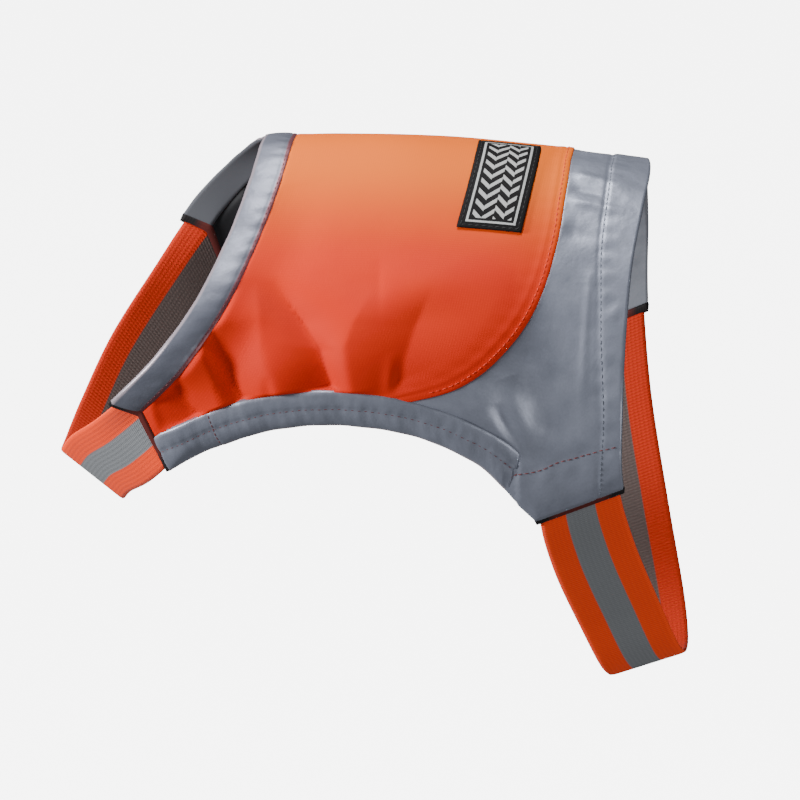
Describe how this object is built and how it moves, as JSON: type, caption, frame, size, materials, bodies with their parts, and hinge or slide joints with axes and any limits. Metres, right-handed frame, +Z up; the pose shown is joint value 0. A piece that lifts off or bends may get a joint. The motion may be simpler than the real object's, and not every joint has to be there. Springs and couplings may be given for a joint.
{
  "type": "reflective dog vest",
  "caption": "High-visibility dog vest in the form it has when worn, with a back panel, a reflective rear panel, bound edges, a chest strap and a belly strap.",
  "frame": {"origin": "inner side of the cloth at the middle of the back, on the spine, where the wearer's back holds the vest up", "axes": "+X along the spine towards the tail, +Y to the wearer's right, +Z up"},
  "size_m": [0.3145, 0.211, 0.2867],
  "materials": {
    "orange_polyester": "coated plain-weave polyester, hi-vis orange, soft sheen",
    "reflective_grey": "smooth retroreflective grey cloth, low sheen",
    "orange_elastic": "ribbed elastic webbing with a silver-grey reflective stripe",
    "black_tape": "matte woven polyester tape",
    "woven_label": "woven label, black with a light grey frame"
  },
  "bodies": {
    "root": {"back_panel": "orange_polyester", "rear_panel": "reflective_grey", "neck_band": "reflective_grey", "arch_band_left": "reflective_grey", "arch_band_right": "reflective_grey", "chest_strap": "orange_elastic", "belly_strap": "orange_elastic", "chest_tape_left": "black_tape", "chest_tape_right": "black_tape", "belly_tape_left": "black_tape", "belly_tape_right": "black_tape", "label": "woven_label"}
  },
  "joints": []
}
